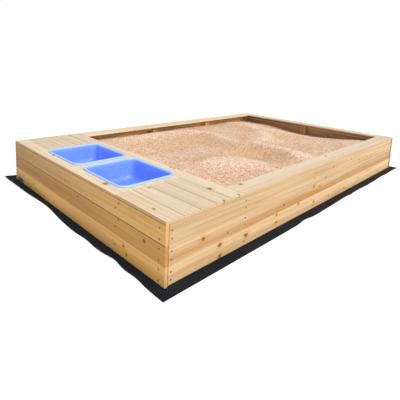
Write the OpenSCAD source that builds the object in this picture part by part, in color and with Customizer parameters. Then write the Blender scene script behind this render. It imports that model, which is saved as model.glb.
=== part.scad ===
// Timber sandpit with a bench deck at one end and two lift-out play tubs.
// X runs along the pit from the bench end to the far end, Y runs across it, Z is up.
// The origin is the middle of the footprint, on the ground under the groundsheet.

/* [Pit] */
// Length over the end walls
pit_l = 3000; // [2400:50:3600]
// Width over the ends of the end-wall boards
pit_w = 1900; // [1700:50:2400]
// Thickness of the wall boards
wall_t = 18; // [16:1:24]
// Height of one wall board; three are stacked
board_h = 100; // [90:1:120]
// How far the long walls sit in from the ends of the end-wall boards
wall_inset = 4; // [1:1:8]
// Gap between the end of a long board and the end wall
end_gap = 3; // [0:0.5:5]
// Chamfer on the long edges of the wall boards
edge_chamfer = 2; // [1:0.5:4]

/* [Posts and bearers] */
// Width of a post along its wall
post_w = 70; // [45:1:90]
// Depth of a post, from its wall inwards
post_d = 45; // [35:1:60]
// Height of the bearers, which sit on the short posts
bearer_h = 45; // [35:1:60]
// How far the middle post of the far end stands towards the back wall
far_post_y = 25; // [-40:1:40]
// Height of the battens under the cap rails and the deck ends
batten_h = 40; // [30:1:50]
// Thickness of those battens
batten_t = 28; // [20:1:35]

/* [Bench deck] */
// Width of the bench deck, from the end wall inwards
deck_w = 540; // [500:10:640]
// Thickness of the deck boards, tub panel and cap rails
deck_t = 15; // [12:1:22]
// Number of deck boards side by side
deck_boards = 5; // [5:1:5]
// Gap between the deck boards
deck_gap = 1.2; // [1:0.1:5]
// Length of the tub panel across the pit
panel_l = 1080; // [1060:10:1200]
// Width of the cap rails
cap_w = 125; // [100:5:150]
// How far the cap rails oversail the far end wall
cap_overhang = 10; // [0:1:20]

/* [Tubs] */
// Length of a tub over its rim, across the pit
tub_l = 474; // [420:2:490]
// Width of a tub over its rim, along the pit
tub_w = 400; // [360:2:420]
// Depth of a tub from rim top to floor
tub_h = 138; // [100:2:170]
// Wall thickness of a tub
tub_t = 3; // [2:0.5:4]
// Distance between the two tubs' centres
tub_pitch = 524; // [510:2:550]
// Distance of the tubs' centres from the bench end
tub_x = 264; // [250:2:280]
// Width of the rolled rim outside the tub's wall
rim_w = 15; // [12:1:20]
// Height of the rolled rim
rim_h = 10; // [8:1:14]

/* [Ground] */
// Thickness of the groundsheet
sheet_t = 2; // [1:0.5:3]
// How far the groundsheet shows past the end walls
sheet_margin_x = 60; // [40:5:120]
// How far the groundsheet shows past the long walls
sheet_margin_y = 66; // [40:2:120]
// Mean height of the sand above the groundsheet
sand_h = 234; // [180:2:250]

/* [Screws] */
// Diameter of a screw head
screw_head_d = 8; // [7:0.5:11]
// Diameter of a screw shank
screw_d = 4.5; // [3.5:0.5:6]
// Length of a screw through a wall board into a post
screw_l = 50; // [40:5:60]
// How far a deck or cap screw bites into the board above its rail
top_bite = 10; // [8:1:12]

/* [Hidden] */
$fn = 32;

// Faces of the frame
base_z = sheet_t;
wall_top = base_z + 3 * board_h;
deck_top = wall_top + deck_t;
bench_x = -pit_l / 2;
far_x = pit_l / 2;
near_y = -pit_w / 2;
wall_y = pit_w / 2 - wall_inset;
inner_x = pit_l / 2 - wall_t;
inner_y = wall_y - wall_t;
deck_edge_x = bench_x + deck_w;
divider_x = deck_edge_x - wall_t;

// Three equal bays between the bench deck and the far end
corner_inset = 40;
first_post_x = deck_edge_x + post_w / 2;
post_pitch = (far_x - corner_inset - first_post_x) / 3;
function post_x(i) = first_post_x + (i - 1) * post_pitch;

// Short posts carry the bearers, which run under the two ends of the tub panel
short_post_h = 3 * board_h - bearer_h;
bearer_y = panel_l / 2;
bearer_z = wall_top - bearer_h;
batten_z = wall_top - batten_h;

deck_board_w = (deck_w - (deck_boards - 1) * deck_gap) / deck_boards;
deck_board_l = pit_w / 2 - panel_l / 2;
function deck_board_x(i) = bench_x + (i - 1) * (deck_board_w + deck_gap);

// Tub sections: the rim rests on the panel, and the walls taper to the floor
tub_centre_x = bench_x + tub_x;
tub_seat = 0.3;
rim_top = deck_top + tub_seat + rim_h;
tub_floor = rim_top - tub_h;
tub_taper = 24;
tub_corner_r = 48;
cutout_play = 3;
plate_skin = 0.5;

// Screw head: a short rim over a cone
head_rim = 1;
head_cone = 2;
// Inset of the outermost screws from the end of the board or rail that they hold
rail_screw_inset = 60;
panel_screw_inset = 100;

// Blank plate on the bench end
plate_l = 110;
plate_h = 34;
plate_t = 1.2;
plate_r = 8;
plate_y = pit_w / 2 - 105;
plate_z = base_z + 22;

// Sand surface: a slow fall towards the far end, with broad mounds and hollows.
// Each entry is [x, y, radius along x, radius along y, height].
sand_fall = 14;
sand_mounds = [
    [-650, 640, 260, 170, 26],
    [-330, 630, 280, 180, 34],
    [20, 600, 260, 190, 36],
    [190, 380, 170, 240, 26],
    [120, 80, 150, 220, 24],
    [-400, 220, 340, 150, -16],
    [-520, -420, 320, 240, 36],
    [-20, -330, 150, 240, -30],
    [250, -250, 140, 180, 32],
    [280, -480, 140, 200, 36],
    [200, -740, 170, 170, 30],
    [500, -40, 220, 140, 24],
    [760, 150, 220, 140, 20],
    [1040, 660, 170, 280, 28],
    [1020, 220, 150, 260, 24],
    [1420, 0, 200, 360, -38],
    [1480, 480, 140, 200, 8],
    [1270, -760, 320, 220, 34],
    [700, -460, 280, 240, -14],
    [380, 960, 300, 160, 12],
    [-930, 60, 160, 800, 20],
    [-430, 920, 130, 120, -30]
];
sand_columns = 30;
sand_rows = 22;
sand_ledge = 1;

function mound_height(x, y, m) =
    m[4] * exp(-pow((x - m[0]) / m[2], 2) - pow((y - m[1]) / m[3], 2));
function sand_height(x, y) =
    sand_h - sand_fall * x / far_x + mound_sum(x, y, len(sand_mounds) - 1);
function mound_sum(x, y, i) =
    i < 0 ? 0 : mound_height(x, y, sand_mounds[i]) + mound_sum(x, y, i - 1);

// A board with chamfered long edges, its length along X from the origin
module board_x(length, height, thick) {
    c = edge_chamfer;
    rotate([90, 0, 90])
        linear_extrude(length)
            polygon([
                [c, 0], [thick - c, 0], [thick, c], [thick, height - c],
                [thick - c, height], [c, height], [0, height - c], [0, c]
            ]);
}

// The same board laid along Y
module board_y(length, height, thick) {
    translate([thick, 0, 0])
        rotate([0, 0, 90])
            board_x(length, height, thick);
}

module block(x0, x1, y0, y1, z0, z1) {
    translate([x0, y0, z0])
        cube([x1 - x0, y1 - y0, z1 - z0]);
}

module end_board(x0, level) {
    translate([x0, near_y, base_z + (level - 1) * board_h])
        board_y(pit_w, board_h, wall_t);
}

module long_board(y0, level) {
    translate([-inner_x + end_gap, y0, base_z + (level - 1) * board_h])
        board_x(2 * (inner_x - end_gap), board_h, wall_t);
}

module bench_end_board(level) { color("#B98A4E") end_board(bench_x, level); }
module far_end_board(level) { color("#E0BC8A") end_board(inner_x, level); }
module near_wall_board(level) { color("#F0D0A5") long_board(-wall_y, level); }
module back_wall_board(level) { color("#E8C898") long_board(inner_y, level); }

// sx and sy say which corner: -1 is the bench end or the near wall
module corner_post(sx, sy) {
    color("#DDB680")
        translate([sx * (inner_x - post_d / 2), sy * (inner_y - post_d / 2), base_z])
            translate([-post_d / 2, -post_d / 2, 0])
                cube([post_d, post_d, 3 * board_h]);
}

module long_wall_post(sy, i) {
    color("#DDB680")
        translate([post_x(i), sy * (inner_y - post_d / 2), base_z])
            translate([-post_w / 2, -post_d / 2, 0])
                cube([post_w, post_d, 3 * board_h]);
}

module far_end_post() {
    color("#DDB680")
        block(inner_x - post_d, inner_x, far_post_y - post_w / 2,
            far_post_y + post_w / 2, base_z, wall_top);
}

module short_post(x0, sy) {
    color("#DDB680")
        translate([x0, sy * bearer_y - post_w / 2, base_z])
            cube([post_d, post_w, short_post_h]);
}

module bearer(sy) {
    color("#D8B078")
        block(-inner_x, divider_x, sy * bearer_y - post_w / 2,
            sy * bearer_y + post_w / 2, bearer_z, wall_top);
}

module divider_board(level) {
    color("#E4C28E")
        translate([divider_x, -inner_y, base_z + (level - 1) * board_h])
            board_y(2 * inner_y, board_h, wall_t);
}

module deck_batten(sy) {
    color("#D8B078")
        translate([0, sy * (inner_y - batten_t / 2), 0])
            block(-inner_x + post_d, divider_x, -batten_t / 2, batten_t / 2,
                batten_z, wall_top);
}

// A deck or cap board lies flat: its width is across and its thickness is up
module flat_board_y(width, length) { board_y(length, deck_t, width); }
module flat_board_x(width, length) { board_x(length, deck_t, width); }

module deck_board(sy, i) {
    y0 = sy < 0 ? near_y : panel_l / 2;
    color("#E6D3B6")
        translate([deck_board_x(i), y0, wall_top])
            flat_board_y(deck_board_w, deck_board_l);
}

module rounded_plate(width, length, r, thick) {
    linear_extrude(thick)
        union() {
            square([width - 2 * r, length], center = true);
            square([width, length - 2 * r], center = true);
            for (sx = [-1, 1]) {
                for (sy = [-1, 1]) {
                    translate([sx * (width / 2 - r), sy * (length / 2 - r)])
                        circle(r);
                }
            }
        }
}

module tub_panel() {
    body_w = tub_w - 2 * rim_w;
    body_l = tub_l - 2 * rim_w;
    color("#EAD9BF")
        difference() {
            block(bench_x, deck_edge_x, -panel_l / 2, panel_l / 2, wall_top, deck_top);
            for (sy = [-1, 1]) {
                translate([tub_centre_x, sy * tub_pitch / 2, wall_top - 1])
                    rounded_plate(body_w + 2 * cutout_play, body_l + 2 * cutout_play,
                        tub_corner_r, deck_t + 2);
            }
        }
}

// Tapered tub wall between two levels, as one hull of two thin rounded plates
module tub_taper_solid(inset, floor_z) {
    body_w = tub_w - 2 * rim_w - 2 * inset;
    body_l = tub_l - 2 * rim_w - 2 * inset;
    r = tub_corner_r - inset;
    hull() {
        translate([0, 0, floor_z])
            rounded_plate(body_w - 2 * tub_taper, body_l - 2 * tub_taper, r, plate_skin);
        translate([0, 0, rim_top - plate_skin])
            rounded_plate(body_w, body_l, r, plate_skin);
    }
}

module tub(sy) {
    color("#5C84F5")
        translate([tub_centre_x, sy * tub_pitch / 2, 0])
            difference() {
                union() {
                    tub_taper_solid(0, tub_floor - tub_t);
                    translate([0, 0, rim_top - rim_h])
                        rounded_plate(tub_w, tub_l, tub_corner_r + rim_w, rim_h);
                }
                tub_taper_solid(tub_t, tub_floor);
                translate([0, 0, rim_top - plate_skin])
                    rounded_plate(tub_w - 2 * rim_w - 2 * tub_t,
                        tub_l - 2 * rim_w - 2 * tub_t, tub_corner_r - tub_t, 2);
            }
}

module long_cap(sy) {
    y0 = sy < 0 ? near_y : pit_w / 2 - cap_w;
    color("#E8D8BE")
        translate([deck_edge_x, y0, wall_top])
            flat_board_x(cap_w, far_x + cap_overhang - deck_edge_x);
}

module far_cap() {
    color("#E8D8BE")
        translate([far_x + cap_overhang - cap_w, near_y + cap_w, wall_top])
            flat_board_y(cap_w, pit_w - 2 * cap_w);
}

// Battens fill the bays between the posts, tight under the cap rails
module long_cap_battens(sy) {
    bays = [
        [post_x(1) + post_w / 2, post_x(2) - post_w / 2],
        [post_x(2) + post_w / 2, post_x(3) - post_w / 2],
        [post_x(3) + post_w / 2, inner_x - post_d]
    ];
    color("#D8B078")
        translate([0, sy * (inner_y - batten_t / 2), 0])
            for (bay = bays) {
                block(bay[0], bay[1], -batten_t / 2, batten_t / 2, batten_z, wall_top);
            }
}

module far_cap_battens() {
    bays = [
        [-inner_y + post_d, far_post_y - post_w / 2],
        [far_post_y + post_w / 2, inner_y - post_d]
    ];
    color("#D8B078")
        for (bay = bays) {
            block(inner_x - batten_t, inner_x, bay[0], bay[1], batten_z, wall_top);
        }
}

// A countersunk screw: the head's face is at the origin and the shank runs along -Z
module screw(length) {
    translate([0, 0, -head_rim])
        cylinder(h = head_rim, d = screw_head_d);
    translate([0, 0, -head_rim - head_cone])
        cylinder(h = head_cone, d1 = screw_d, d2 = screw_head_d);
    translate([0, 0, -length])
        cylinder(h = length - head_rim - head_cone, d = screw_d);
}

// Heights of screws that stand at the given fractions of each of the three boards
function levels(fractions) = [
    for (level = [0:2])
        for (f = fractions) base_z + (level + f) * board_h
];
// Two screws hold each board to a full post, and one holds an end board to a short post
long_levels = levels([0.24, 0.64]);
end_levels = levels([0.19, 0.73]);
short_levels = levels([0.45]);

module long_wall_screws() {
    columns = [
        -inner_x + post_d / 2, post_x(1), post_x(2), post_x(3), inner_x - post_d / 2
    ];
    color("#6B5334")
        for (x = columns) {
            for (z = long_levels) {
                translate([x, -wall_y, z])
                    rotate([90, 0, 0])
                        screw(screw_l);
                translate([x, wall_y, z])
                    rotate([-90, 0, 0])
                        screw(screw_l);
            }
        }
}

module end_wall_screws() {
    corner_row = inner_y - post_d / 2;
    color("#6B5334") {
        for (y = [-corner_row, corner_row]) {
            for (z = end_levels) {
                bench_end_screw(y, z);
                far_end_screw(y, z);
            }
        }
        for (z = short_levels) {
            bench_end_screw(-bearer_y, z);
            bench_end_screw(bearer_y, z);
        }
        for (z = end_levels) {
            far_end_screw(far_post_y, z);
        }
    }
}

module bench_end_screw(y, z) {
    translate([bench_x, y, z])
        rotate([0, -90, 0])
            screw(screw_l);
}

module far_end_screw(y, z) {
    translate([far_x, y, z])
        rotate([0, 90, 0])
            screw(screw_l);
}

// Screws from the bench side fix the divider to the first pair of wall posts,
// and screws from the sand side fix it to the two short posts and the bearers
module frame_screws() {
    color("#8C8C8C") {
        for (sy = [-1, 1]) {
            for (z = long_levels) {
                translate([divider_x, sy * (inner_y - post_d / 2), z])
                    rotate([0, -90, 0])
                        screw(screw_l);
                translate([deck_edge_x, sy * bearer_y, z])
                    rotate([0, 90, 0])
                        screw(screw_l);
            }
            for (x = [-inner_x + post_d + rail_screw_inset, divider_x - rail_screw_inset]) {
                translate([x, sy * (inner_y - batten_t), batten_z + batten_h / 2])
                    rotate([sy * 90, 0, 0])
                        screw(batten_t + top_bite);
            }
        }
    }
}

// Screws driven upwards hold the deck boards, the tub panel and the cap rails
module top_screws() {
    color("#8C8C8C") {
        for (sy = [-1, 1]) {
            for (i = [1:deck_boards]) {
                translate([deck_board_x(i) + deck_board_w / 2, sy * (bearer_y + post_w / 4),
                        bearer_z])
                    rotate([180, 0, 0])
                        screw(bearer_h + top_bite);
            }
            for (i = [2:deck_boards - 1]) {
                translate([deck_board_x(i) + deck_board_w / 2, sy * (inner_y - batten_t / 2),
                        batten_z])
                    rotate([180, 0, 0])
                        screw(batten_h + top_bite);
            }
            for (x = [bench_x + panel_screw_inset, deck_edge_x - panel_screw_inset]) {
                translate([x, sy * (bearer_y - post_w / 4), bearer_z])
                    rotate([180, 0, 0])
                        screw(bearer_h + top_bite);
            }
            for (i = [1:3]) {
                for (f = [0.25, 0.75]) {
                    translate([post_x(i) + f * post_pitch, sy * (inner_y - batten_t / 2),
                            batten_z])
                        rotate([180, 0, 0])
                            screw(batten_h + top_bite);
                }
            }
            for (f = [0.3, 0.7]) {
                translate([inner_x - batten_t / 2, sy * f * inner_y, batten_z])
                    rotate([180, 0, 0])
                        screw(batten_h + top_bite);
            }
        }
    }
}

module groundsheet() {
    color("#232426")
        block(bench_x - sheet_margin_x, far_x + sheet_margin_x,
            near_y - sheet_margin_y, -near_y + sheet_margin_y, 0, sheet_t);
}

// The sand fills the pit from the divider to the far end, round the posts
module sand_fill() {
    x0 = deck_edge_x + sand_ledge;
    x1 = inner_x - sand_ledge;
    y1 = inner_y - sand_ledge;
    nx = sand_columns;
    ny = sand_rows;
    top = [
        for (i = [0:nx])
            for (j = [0:ny])
                let (x = x0 + (x1 - x0) * i / nx, y = -y1 + 2 * y1 * j / ny)
                    [x, y, base_z + sand_height(x, y)]
    ];
    floor_points = [for (p = top) [p[0], p[1], base_z]];
    n = (nx + 1) * (ny + 1);
    function at(i, j) = i * (ny + 1) + j;
    top_faces = [
        for (i = [0:nx - 1])
            for (j = [0:ny - 1])
                for (f = [
                    [at(i, j), at(i, j + 1), at(i + 1, j + 1)],
                    [at(i, j), at(i + 1, j + 1), at(i + 1, j)]
                ]) f
    ];
    floor_faces = [for (f = top_faces) [f[0] + n, f[2] + n, f[1] + n]];
    rim = concat(
        [for (i = [0:nx - 1]) at(i, 0)],
        [for (j = [0:ny - 1]) at(nx, j)],
        [for (i = [nx:-1:1]) at(i, ny)],
        [for (j = [ny:-1:1]) at(0, j)]
    );
    side_faces = [
        for (k = [0:len(rim) - 1])
            let (a = rim[k], b = rim[(k + 1) % len(rim)])
                [a, b, b + n, a + n]
    ];
    color("#E2BE97")
        difference() {
            polyhedron(concat(top, floor_points),
                concat(top_faces, floor_faces, side_faces));
            for (sy = [-1, 1]) {
                for (i = [1:3]) {
                    post_socket(post_x(i), sy * (inner_y - post_d / 2), post_w, post_d);
                }
                post_socket(inner_x - post_d / 2, sy * (inner_y - post_d / 2), post_d, post_d);
                screw_socket(sy);
            }
            post_socket(inner_x - post_d / 2, far_post_y, post_d, post_w);
        }
}

// Room round a post, from the groundsheet up through the sand
module post_socket(x, y, width, length) {
    translate([x, y, base_z + 2 * board_h])
        cube([width + 2 * sand_ledge, length + 2 * sand_ledge, 6 * board_h], center = true);
}

// Room for the heads of the screws on the sand side of the divider
module screw_socket(sy) {
    translate([deck_edge_x, sy * bearer_y, base_z + 2 * board_h])
        cube([4, 2 * screw_head_d, 6 * board_h], center = true);
}

module blank_plate() {
    color("#8F918C")
        translate([bench_x, plate_y, plate_z])
            rotate([0, -90, 0])
                rounded_plate(plate_h, plate_l, plate_r, plate_t);
}

groundsheet();
bench_end_board(1);  // bench_end_board_1
bench_end_board(2);  // bench_end_board_2
bench_end_board(3);  // bench_end_board_3
far_end_board(1);  // far_end_board_1
far_end_board(2);  // far_end_board_2
far_end_board(3);  // far_end_board_3
near_wall_board(1);  // near_wall_board_1
near_wall_board(2);  // near_wall_board_2
near_wall_board(3);  // near_wall_board_3
back_wall_board(1);  // back_wall_board_1
back_wall_board(2);  // back_wall_board_2
back_wall_board(3);  // back_wall_board_3
corner_post(-1, -1);  // corner_post_bench_near
corner_post(-1, 1);  // corner_post_bench_back
corner_post(1, -1);  // corner_post_far_near
corner_post(1, 1);  // corner_post_far_back
long_wall_post(-1, 1);  // near_post_1
long_wall_post(-1, 2);  // near_post_2
long_wall_post(-1, 3);  // near_post_3
long_wall_post(1, 1);  // back_post_1
long_wall_post(1, 2);  // back_post_2
long_wall_post(1, 3);  // back_post_3
far_end_post();
short_post(-inner_x, -1);  // bench_end_post_near
short_post(-inner_x, 1);  // bench_end_post_back
short_post(divider_x - post_d, -1);  // divider_post_near
short_post(divider_x - post_d, 1);  // divider_post_back
divider_board(1);  // divider_board_1
divider_board(2);  // divider_board_2
divider_board(3);  // divider_board_3
bearer(-1);  // bearer_near
bearer(1);  // bearer_back
deck_batten(-1);  // deck_batten_near
deck_batten(1);  // deck_batten_back
deck_board(-1, 1);  // deck_board_near_1
deck_board(-1, 2);  // deck_board_near_2
deck_board(-1, 3);  // deck_board_near_3
deck_board(-1, 4);  // deck_board_near_4
deck_board(-1, 5);  // deck_board_near_5
deck_board(1, 1);  // deck_board_back_1
deck_board(1, 2);  // deck_board_back_2
deck_board(1, 3);  // deck_board_back_3
deck_board(1, 4);  // deck_board_back_4
deck_board(1, 5);  // deck_board_back_5
tub_panel();
tub(-1);  // near_tub
tub(1);  // back_tub
long_cap(-1);  // near_cap
long_cap(1);  // back_cap
far_cap();
long_cap_battens(-1);  // near_cap_battens
long_cap_battens(1);  // back_cap_battens
far_cap_battens();
long_wall_screws();
end_wall_screws();
frame_screws();
top_screws();
sand_fill();
blank_plate();
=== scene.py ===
"""A timber sandpit with a bench deck, two drop-in tubs, cap rails, a groundsheet and its sand."""
import math
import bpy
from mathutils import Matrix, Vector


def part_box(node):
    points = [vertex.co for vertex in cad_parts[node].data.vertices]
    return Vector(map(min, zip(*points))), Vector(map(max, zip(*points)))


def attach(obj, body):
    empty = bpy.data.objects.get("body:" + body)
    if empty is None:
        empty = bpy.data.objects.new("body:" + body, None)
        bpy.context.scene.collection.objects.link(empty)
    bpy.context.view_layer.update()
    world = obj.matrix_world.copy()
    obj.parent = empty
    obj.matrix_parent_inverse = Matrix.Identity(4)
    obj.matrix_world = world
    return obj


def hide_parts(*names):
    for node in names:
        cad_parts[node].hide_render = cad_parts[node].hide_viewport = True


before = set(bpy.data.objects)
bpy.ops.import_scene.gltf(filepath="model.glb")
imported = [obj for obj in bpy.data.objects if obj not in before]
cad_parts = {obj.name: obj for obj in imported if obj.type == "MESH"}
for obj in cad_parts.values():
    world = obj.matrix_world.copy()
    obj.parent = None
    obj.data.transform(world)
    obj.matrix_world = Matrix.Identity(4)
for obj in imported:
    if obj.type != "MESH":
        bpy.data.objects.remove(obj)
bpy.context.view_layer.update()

import zlib

import bmesh
import bpy
import numpy as np
from mathutils import Vector

# ---- Groundsheet -------------------------------------------------------------------------------
# A black woven polypropylene weed mat, cut from the roll and laid loose on the ground. The timber
# frame stands on it, and the strip left outside the walls lifts and wanders in shallow waves.
MAT_THICKNESS = 0.0014
MAT_REST = 0.0003          # its underside, above the ground
MAT_LIFT = 0.010           # the highest wave at the free edge
MAT_WANDER = 0.012         # how far the cut edge strays inwards on the sides at the back
# Where the cut edge pulls in on the two near sides: place along the side, reach and depth.
BENCH_PULLS = [(0.28, 0.24, 0.026), (-0.61, 0.07, 0.015), (-0.33, 0.09, 0.009), (-0.80, 0.10, 0.008)]
NEAR_PULLS = [(-0.35, 0.07, 0.012), (0.02, 0.12, 0.004), (0.70, 0.25, 0.004), (1.36, 0.20, 0.010)]
MAT_CREEP = 0.007          # how far the back corner at the bench end has crept outwards
MAT_STEP = 0.024           # spacing of its points under the pit
MAT_STRIP, STRIP_POINTS = 0.07, 8       # the border where its points lie closer
HELD_IN, FREE_OVER = 0.006, 0.05        # the frame still holds this much; it is free after this
WAVE_LONG, WAVE_SHORT, WANDER_LONG = 0.26, 0.09, 0.21
TIP_LIFT, TIP_REACH = 1.4, 0.1          # that back corner also stands higher than the waves


def linear(code):
    """The linear colour, with alpha, of an sRGB hex value."""
    parts = [int(code[i:i + 2], 16) / 255 for i in (1, 3, 5)]
    return [c / 12.92 if c <= 0.04045 else ((c + 0.055) / 1.055) ** 2.4 for c in parts] + [1.0]


def add_node(tree, kind, inputs=None, **settings):
    """Adds a node with its settings. An input is a value, a socket or a node to link from."""
    node = tree.nodes.new(kind)
    for key, value in settings.items():
        setattr(node, key, value)
    for key, value in (inputs or {}).items():
        if isinstance(key, str):
            socket = next(s for s in node.inputs if s.enabled and s.name == key)
        else:
            socket = node.inputs[key]
        if isinstance(value, bpy.types.Node):
            value = next(s for s in value.outputs if s.enabled)
        if isinstance(value, bpy.types.NodeSocket):
            tree.links.new(value, socket)
        else:
            socket.default_value = value
    return node


def set_ramp(node, stops):
    """Gives a colour ramp its stops, each a place from 0 to 1 and a colour or a grey."""
    elements = node.color_ramp.elements
    while len(elements) < len(stops):
        elements.new(1.0)
    for element, (place, colour) in zip(elements, stops):
        element.position = place
        element.color = colour if hasattr(colour, "__len__") else [colour, colour, colour, 1.0]
    return node


def new_material(name):
    """A material with a Principled shader that is linked to its output."""
    material = bpy.data.materials.new(name)
    material.use_nodes = True
    tree = material.node_tree
    tree.nodes.clear()
    shader = add_node(tree, "ShaderNodeBsdfPrincipled")
    add_node(tree, "ShaderNodeOutputMaterial", {"Surface": shader})
    return material, tree, shader


def add_piece(name, vertices, faces, materials, smooth=False):
    """A mesh object at the origin, with its place in its vertices."""
    mesh = bpy.data.meshes.new(name)
    mesh.from_pydata(np.asarray(vertices, float).tolist(), [], faces)
    for material in materials:
        mesh.materials.append(material)
    mesh.polygons.foreach_set("use_smooth", [smooth] * len(mesh.polygons))
    mesh.update()
    piece = bpy.data.objects.new(name, mesh)
    bpy.context.scene.collection.objects.link(piece)
    return piece


def stand_for(piece, node, body):
    """The piece is shown in place of a CAD node and moves with its body."""
    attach(piece, body)
    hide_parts(node)
    return piece


def swell(x, y, cell, seed):
    """Smooth seeded noise from -1 to 1, with humps about one cell across."""
    size = 257
    x, y = np.asarray(x, float) / cell, np.asarray(y, float) / cell
    column, row = np.floor(x).astype(int), np.floor(y).astype(int)
    u, v = x - column, y - row
    u, v = u * u * (3 - 2 * u), v * v * (3 - 2 * v)
    lattice = np.random.default_rng(seed).uniform(-1, 1, (size, size))

    def corner(i, j):
        return lattice[(column + i) % size, (row + j) % size]

    near = corner(0, 0) * (1 - u) + corner(1, 0) * u
    far = corner(0, 1) * (1 - u) + corner(1, 1) * u
    return near * (1 - v) + far * v


def slab(top, under):
    """The vertices and faces of a closed slab between two grids of points."""
    rows, columns = top.shape[:2]
    count = rows * columns
    index = np.arange(count).reshape(rows, columns)
    quads = np.stack([index[:-1, :-1], index[:-1, 1:], index[1:, 1:], index[1:, :-1]], -1)
    quads = quads.reshape(-1, 4)
    rim = np.concatenate([index[0, :-1], index[:-1, -1], index[-1, :0:-1], index[:0:-1, 0]])
    after = np.roll(rim, -1)
    sides = np.stack([rim + count, after + count, after, rim], -1)
    faces = np.concatenate([quads, quads[:, ::-1] + count, sides])
    return np.concatenate([top.reshape(-1, 3), under.reshape(-1, 3)]), faces.tolist()


def block(top, foot):
    """The vertices and faces of a grid of points on a flat foot, closed underneath by one face."""
    rows, columns = top.shape[:2]
    index = np.arange(rows * columns).reshape(rows, columns)
    quads = np.stack([index[:-1, :-1], index[:-1, 1:], index[1:, 1:], index[1:, :-1]], -1)
    rim = np.concatenate([index[0, :-1], index[:-1, -1], index[-1, :0:-1], index[:0:-1, 0]])
    below = rows * columns + np.arange(len(rim))
    sides = np.stack([below, np.roll(below, -1), np.roll(rim, -1), rim], -1)
    feet = top.reshape(-1, 3)[rim] * [1, 1, 0] + [0, 0, foot]
    faces = quads.reshape(-1, 4).tolist() + sides.tolist() + [below[::-1].tolist()]
    return np.concatenate([top.reshape(-1, 3), feet]), faces


mat_low, mat_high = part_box("groundsheet")
frame_low = Vector((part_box("bench_end_board_1")[0].x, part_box("near_wall_board_1")[0].y))
frame_high = Vector((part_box("far_end_board_1")[1].x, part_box("back_wall_board_1")[1].y))
lines = []
for axis in (0, 1):
    low, high = mat_low[axis], mat_high[axis]
    strip_low, strip_high = low + MAT_STRIP, high - MAT_STRIP
    line = np.concatenate([np.linspace(low, strip_low, STRIP_POINTS),
                           np.linspace(strip_low, strip_high, round((high - low) / MAT_STEP)),
                           np.linspace(strip_high, high, STRIP_POINTS)])
    lines.append(np.unique(np.round(line, 5)))
mat_x, mat_y = np.meshgrid(*lines)
outside = np.maximum.reduce([frame_low.x - mat_x, mat_x - frame_high.x,
                             frame_low.y - mat_y, mat_y - frame_high.y, 0 * mat_x])
free = np.clip((outside - HELD_IN) / FREE_OVER, 0, 1) ** 1.3
wave = swell(mat_x, mat_y, WAVE_LONG, 11) + 0.35 * swell(mat_x, mat_y, WAVE_SHORT, 12)
wave = np.clip(wave - 0.05, 0, 1)
tip = np.exp(-((mat_x - mat_low.x) ** 2 + (mat_y - mat_high.y) ** 2) / TIP_REACH ** 2)
mat_z = MAT_REST + MAT_LIFT * free * np.maximum(wave, TIP_LIFT * tip)
stray = MAT_WANDER * np.clip(0.5 + swell(mat_x, mat_y, WANDER_LONG, 13), 0, 1)
bench_pull = sum(deep * np.exp(-((mat_y - at) / reach) ** 2) for at, reach, deep in BENCH_PULLS)
near_pull = sum(deep * np.exp(-((mat_x - at) / reach) ** 2) for at, reach, deep in NEAR_PULLS)
pull_x = free * np.where(mat_x < frame_low.x, -bench_pull, stray * (mat_x > frame_high.x))
pull_y = free * np.where(mat_y < frame_low.y, -near_pull, stray * (mat_y > frame_high.y))
mat_x, mat_y = mat_x - pull_x - MAT_CREEP * tip, mat_y - pull_y + MAT_CREEP * tip
under = np.stack([mat_x, mat_y, mat_z], -1)
vertices, faces = slab(under + [0, 0, MAT_THICKNESS], under)

# Woven split-film tapes, 2.5 mm wide and slightly shiny. They are drawn 9 mm wide so that the
# weave shows as a faint check, with fibres about 2.4 mm apart on them and dust in wide patches.
TAPE = 0.009
weed_mat, tree, shader = new_material("woven_polypropylene_mat")
place = add_node(tree, "ShaderNodeTexCoord").outputs["Object"]
weave = add_node(tree, "ShaderNodeTexChecker", {"Vector": place, "Scale": 1 / TAPE})
dust = add_node(tree, "ShaderNodeTexNoise", {"Vector": place, "Scale": 6.0, "Detail": 5.0})
fibres = add_node(tree, "ShaderNodeTexNoise", {"Vector": place, "Scale": 420.0, "Detail": 2.0})
cloth = add_node(tree, "ShaderNodeMix", {"Factor": weave.outputs["Fac"], "A": linear("#0f141b"),
                                        "B": linear("#151b23")}, data_type="RGBA")
grey = set_ramp(add_node(tree, "ShaderNodeValToRGB", {"Fac": dust}), [(0.42, 0.0), (0.8, 0.5)])
cloth = add_node(tree, "ShaderNodeMix", {"Factor": grey, "A": cloth, "B": linear("#232a32")},
                 data_type="RGBA")
relief = add_node(tree, "ShaderNodeMath", {0: weave.outputs["Fac"], 1: fibres}, operation="ADD")
relief = add_node(tree, "ShaderNodeBump", {"Height": relief, "Strength": 0.25, "Distance": 0.0008})
tree.links.new(cloth.outputs[2], shader.inputs["Base Color"])
tree.links.new(relief.outputs[0], shader.inputs["Normal"])
shader.inputs["Roughness"].default_value = 0.62
shader.inputs["Specular IOR Level"].default_value = 0.12

groundsheet = add_piece("weed_mat", vertices, faces, [weed_mat])
stand_for(groundsheet, "groundsheet", "pit")

# ---- Posts -------------------------------------------------------------------------------------
# Sawn pine uprights inside the walls: square ones in the corners, flat ones along the sides and
# short ones under the deck. Every wall board is screwed to them from outside.
POST_ARRIS = 0.002
SEGMENT = 0.05             # a plank is divided along its length this often
# The axes that a plank's length, width and thickness lie on, for each way of fixing it.
UPRIGHT, ALONG_WALL, ALONG_END = (2, 0, 1), (0, 2, 1), (1, 2, 0)
LAID_ACROSS, LAID_ALONG = (1, 0, 2), (0, 1, 2)
NO_KNOT = (-10.0, -10.0, 0.01)          # far off the plank, for one with no knots
TOUCHING = 1e-4


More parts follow.
